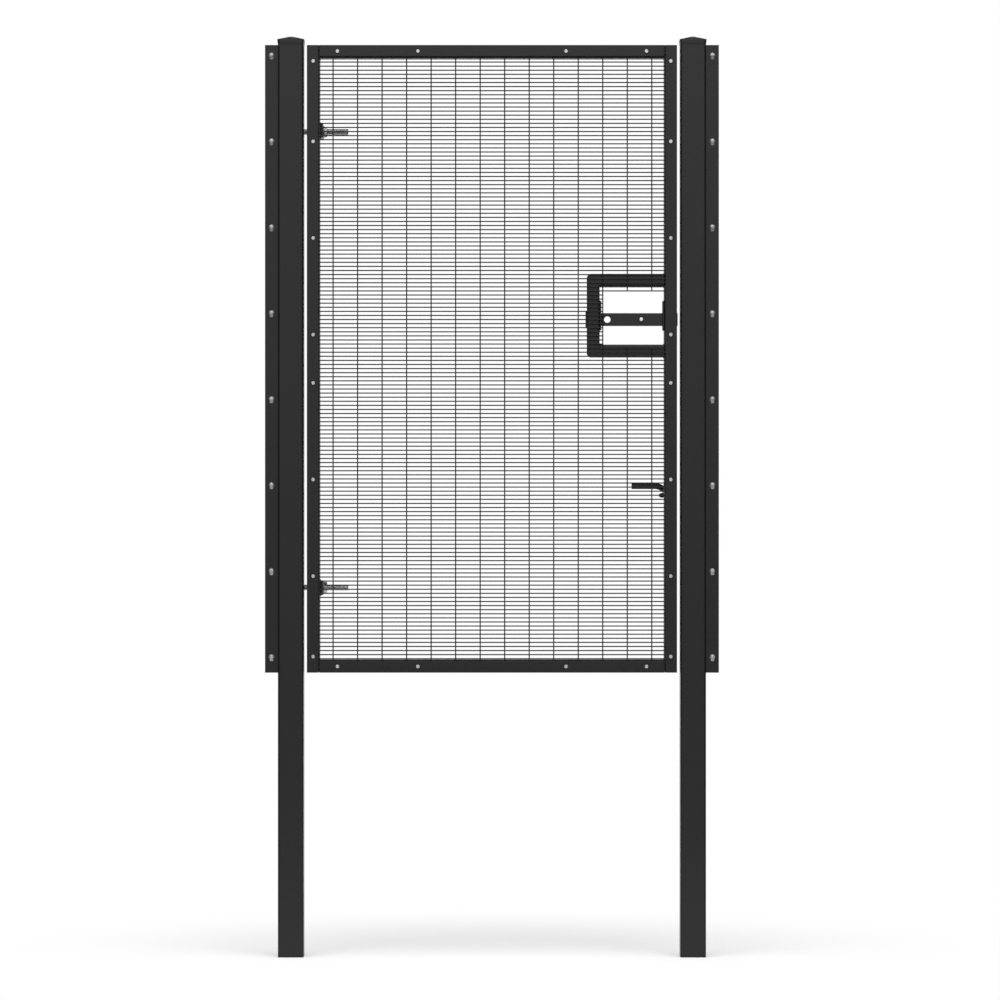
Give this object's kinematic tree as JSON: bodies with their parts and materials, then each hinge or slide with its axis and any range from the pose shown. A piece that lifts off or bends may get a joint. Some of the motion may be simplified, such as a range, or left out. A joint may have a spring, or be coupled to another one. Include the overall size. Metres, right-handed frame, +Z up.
{
  "type": "anti-climb mesh gate",
  "caption": "Single-leaf anti-climb mesh gate hung between two square posts, with a slide bolt and a drop bolt.",
  "frame": {"origin": "middle of the hinge post's foot", "axes": "+Z up along the posts, +X from the hinge post to the latch post, -Y towards the viewer (mesh side)"},
  "size_m": [1.41, 0.1342, 2.863],
  "materials": {
    "powder_coat": "matt",
    "zinc": "bright zinc"
  },
  "bodies": {
    "posts": {"hinge_post": "powder_coat", "hinge_post_cap": "powder_coat", "latch_post": "powder_coat", "latch_post_cap": "powder_coat", "hinge_post_strip": "powder_coat", "hinge_post_flange": "powder_coat", "latch_post_strip": "powder_coat", "latch_post_flange": "powder_coat", "top_hinge_bracket": "powder_coat", "top_hinge_pin": "zinc", "bottom_hinge_bracket": "powder_coat", "bottom_hinge_pin": "zinc"},
    "leaf": {"hinge_stile": "powder_coat", "latch_stile": "powder_coat", "top_rail": "powder_coat", "bottom_rail": "powder_coat", "hinge_clamp_bar": "powder_coat", "latch_clamp_bar": "powder_coat", "top_clamp_bar": "powder_coat", "bottom_clamp_bar": "powder_coat", "mesh_upper_rungs": "powder_coat", "mesh_middle_rungs": "powder_coat", "mesh_lower_rungs": "powder_coat", "mesh_uprights": "powder_coat", "mesh_upper_uprights": "powder_coat", "mesh_lower_uprights": "powder_coat", "latch_frame_side_arm": "powder_coat", "latch_frame_top_arm": "powder_coat", "latch_frame_bottom_arm": "powder_coat", "slide_bolt_near_guide": "powder_coat", "slide_bolt_far_guide": "powder_coat", "slide_bolt_collar": "powder_coat", "top_eye_bolt": "zinc", "top_hinge_lug": "powder_coat", "top_hinge_nuts": "zinc", "bottom_eye_bolt": "zinc", "bottom_hinge_lug": "powder_coat", "bottom_hinge_nuts": "zinc", "drop_bolt_middle_guide": "powder_coat", "drop_bolt_bottom_guide": "powder_coat", "drop_bolt_top_guide": "powder_coat"},
    "slide_bolt": {"slide_bolt_bar": "powder_coat", "slide_bolt_knob": "zinc"},
    "drop_bolt": {"drop_bolt_rod": "powder_coat"}
  },
  "joints": [
    {"name": "leaf_hinge", "type": "hinge", "parent": "posts", "child": "leaf", "pos_m": [0.012, 0.068, 1.147], "axis": [0, 0, 1], "range_deg": [0, 180]},
    {"name": "slide_bolt_slide", "type": "slide", "parent": "leaf", "child": "slide_bolt", "axis": [1, 0, 0], "range_m": [-0.015, 0.035]},
    {"name": "drop_bolt_slide", "type": "slide", "parent": "leaf", "child": "drop_bolt", "axis": [0, 0, 1], "range_m": [-0.15, 0]}
  ]
}
